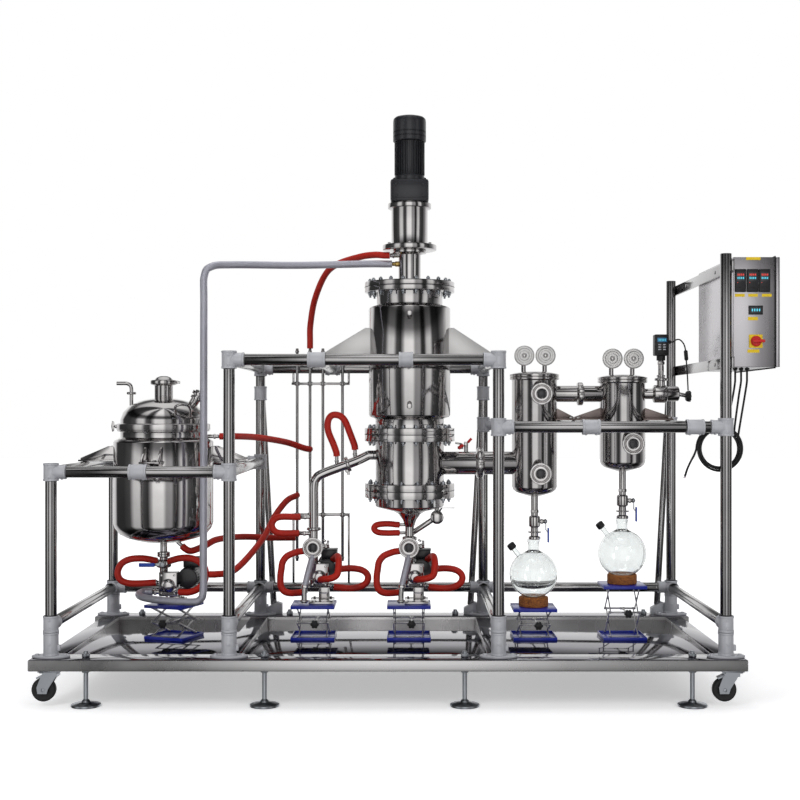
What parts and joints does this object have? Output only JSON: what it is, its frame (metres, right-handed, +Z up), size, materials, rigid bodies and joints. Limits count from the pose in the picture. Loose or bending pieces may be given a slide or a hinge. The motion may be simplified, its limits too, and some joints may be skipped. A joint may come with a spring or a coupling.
{
  "type": "molecular distillation unit",
  "caption": "Wheeled stainless frame with a motor-driven wiped-film evaporator column, jacketed feed vessel, gear pumps on lab jacks, condensers over round flasks and a control cabinet.",
  "frame": {"origin": "on the floor, under the middle of the unit's outline", "axes": "+Z up, +X to the right along the base's length, +Y from the front to the back"},
  "size_m": [3.145, 1.29, 2.604],
  "materials": {
    "base_steel": "brushed front, dark mirror top",
    "frame_tube": "polished tube with satin cast fittings",
    "zinc_plate": "zinc plated",
    "wheel_rubber": "matte",
    "black_enamel": "satin",
    "vessel_steel": "mirror polished stainless",
    "pump_steel": "satin stainless",
    "blue_enamel": "satin",
    "black_plastic": "matte",
    "flask_glass": "clear borosilicate",
    "cork": "granular cork",
    "cabinet_steel": "brushed",
    "red_plastic": "gloss",
    "silver_sleeve": "wrapped silver-grey sleeve",
    "red_silicone": "satin",
    "cable_rubber": "satin"
  },
  "bodies": {
    "unit": {"base_frame": "base_steel", "left_bay_frame": "frame_tube", "main_bay_frame": "frame_tube", "right_bay_frame": "frame_tube", "drive_motor": "black_enamel", "motor_lantern": "vessel_steel", "evaporator_head": "vessel_steel", "evaporator_jacket": "vessel_steel", "collector_body": "vessel_steel", "residue_cone": "vessel_steel", "inner_condenser": "vessel_steel", "distillate_pipe": "vessel_steel", "feed_vessel": "vessel_steel", "pump_jack_1": "blue_enamel", "pump_jack_2": "blue_enamel", "pump_jack_3": "blue_enamel", "jack_base_1": "blue_enamel", "jack_scissor_1": "zinc_plate", "jack_base_2": "blue_enamel", "jack_scissor_2": "zinc_plate", "distillate_pump": "pump_steel", "residue_pump": "pump_steel", "feed_pump": "pump_steel", "condenser_1": "vessel_steel", "condenser_2": "vessel_steel", "vacuum_gauge": "black_plastic", "control_cabinet": "cabinet_steel", "insulated_pipe": "silver_sleeve", "riser_manifold": "vessel_steel", "heating_hose_top": "red_silicone", "heating_hose_vessel": "red_silicone", "heating_hose_bottom": "red_silicone", "heating_hose_pump": "red_silicone", "cable_coil": "cable_rubber", "cabinet_cable_1": "cable_rubber", "cabinet_cable_2": "cable_rubber", "cabinet_cable_3": "cable_rubber", "cable_tail": "cable_rubber", "gauge_cable": "cable_rubber"},
    "rotor": {"wiper_rotor": "vessel_steel"},
    "lid": {"feed_vessel_lid": "vessel_steel"},
    "feed_valve": {"feed_valve_handle": "blue_enamel"},
    "drain_valve_1": {"drain_handle_1": "blue_enamel"},
    "drain_valve_2": {"drain_handle_2": "blue_enamel"},
    "door": {"cabinet_door": "cabinet_steel"},
    "switch": {"main_switch": "red_plastic"},
    "flask_stand_1": {"jack_platform_1": "blue_enamel", "cork_ring_1": "cork", "flask_1": "flask_glass"},
    "flask_stand_2": {"jack_platform_2": "blue_enamel", "cork_ring_2": "cork", "flask_2": "flask_glass"},
    "caster_front_left": {"caster_fork_front_left": "zinc_plate"},
    "wheel_front_left": {"caster_wheel_front_left": "wheel_rubber"},
    "caster_front_right": {"caster_fork_front_right": "zinc_plate"},
    "wheel_front_right": {"caster_wheel_front_right": "wheel_rubber"},
    "caster_back_left": {"caster_fork_back_left": "zinc_plate"},
    "wheel_back_left": {"caster_wheel_back_left": "wheel_rubber"},
    "caster_back_right": {"caster_fork_back_right": "zinc_plate"},
    "wheel_back_right": {"caster_wheel_back_right": "wheel_rubber"}
  },
  "joints": [
    {"name": "caster_swivel_front_left", "type": "hinge", "parent": "unit", "child": "caster_front_left", "pos_m": [-1.492, -0.575, 0.1477], "axis": [0, 0, 1], "continuous": true},
    {"name": "wheel_roll_front_left", "type": "hinge", "parent": "caster_front_left", "child": "wheel_front_left", "pos_m": [-1.522, -0.575, 0.071], "axis": [0, 1, 0], "continuous": true},
    {"name": "caster_swivel_front_right", "type": "hinge", "parent": "unit", "child": "caster_front_right", "pos_m": [1.364, -0.575, 0.1477], "axis": [0, 0, 1], "continuous": true},
    {"name": "wheel_roll_front_right", "type": "hinge", "parent": "caster_front_right", "child": "wheel_front_right", "pos_m": [1.334, -0.575, 0.071], "axis": [0, 1, 0], "continuous": true},
    {"name": "caster_swivel_back_left", "type": "hinge", "parent": "unit", "child": "caster_back_left", "pos_m": [-1.492, 0.575, 0.1477], "axis": [0, 0, 1], "continuous": true},
    {"name": "wheel_roll_back_left", "type": "hinge", "parent": "caster_back_left", "child": "wheel_back_left", "pos_m": [-1.522, 0.575, 0.071], "axis": [0, 1, 0], "continuous": true},
    {"name": "caster_swivel_back_right", "type": "hinge", "parent": "unit", "child": "caster_back_right", "pos_m": [1.364, 0.575, 0.1477], "axis": [0, 0, 1], "continuous": true},
    {"name": "wheel_roll_back_right", "type": "hinge", "parent": "caster_back_right", "child": "wheel_back_right", "pos_m": [1.334, 0.575, 0.071], "axis": [0, 1, 0], "continuous": true},
    {"name": "rotor_spin", "type": "hinge", "parent": "unit", "child": "rotor", "pos_m": [0.013, 0, 1.7], "axis": [0, 0, 1], "continuous": true},
    {"name": "lid_lift", "type": "slide", "parent": "unit", "child": "lid", "axis": [0, 0, 1], "range_m": [0, 0.3]},
    {"name": "feed_valve_turn", "type": "hinge", "parent": "unit", "child": "feed_valve", "pos_m": [-1.128, -0.0463, 0.532], "axis": [0, -1, 0], "range_deg": [0, 90]},
    {"name": "drain_valve_turn_1", "type": "hinge", "parent": "unit", "child": "drain_valve_1", "pos_m": [0.6393, 0, 0.7273], "axis": [-1, 0, 0], "range_deg": [0, 90]},
    {"name": "drain_valve_turn_2", "type": "hinge", "parent": "unit", "child": "drain_valve_2", "pos_m": [1.0473, 0, 0.8243], "axis": [-1, 0, 0], "range_deg": [0, 90]},
    {"name": "door_hinge", "type": "hinge", "parent": "unit", "child": "door", "pos_m": [1.5547, 0.0875, 1.655], "axis": [0, 0, 1], "range_deg": [0, 110]},
    {"name": "switch_turn", "type": "hinge", "parent": "unit", "child": "switch", "pos_m": [1.4665, -0.5823, 1.532], "axis": [0, -1, 0], "range_deg": [0, 90]},
    {"name": "jack_lift_1", "type": "slide", "parent": "unit", "child": "flask_stand_1", "axis": [0, 0, 1], "range_m": [-0.064, 0], "deforming": ["jack_scissor_1"]},
    {"name": "jack_lift_2", "type": "slide", "parent": "unit", "child": "flask_stand_2", "axis": [0, 0, 1], "range_m": [-0.165, 0], "deforming": ["jack_scissor_2"]}
  ]
}
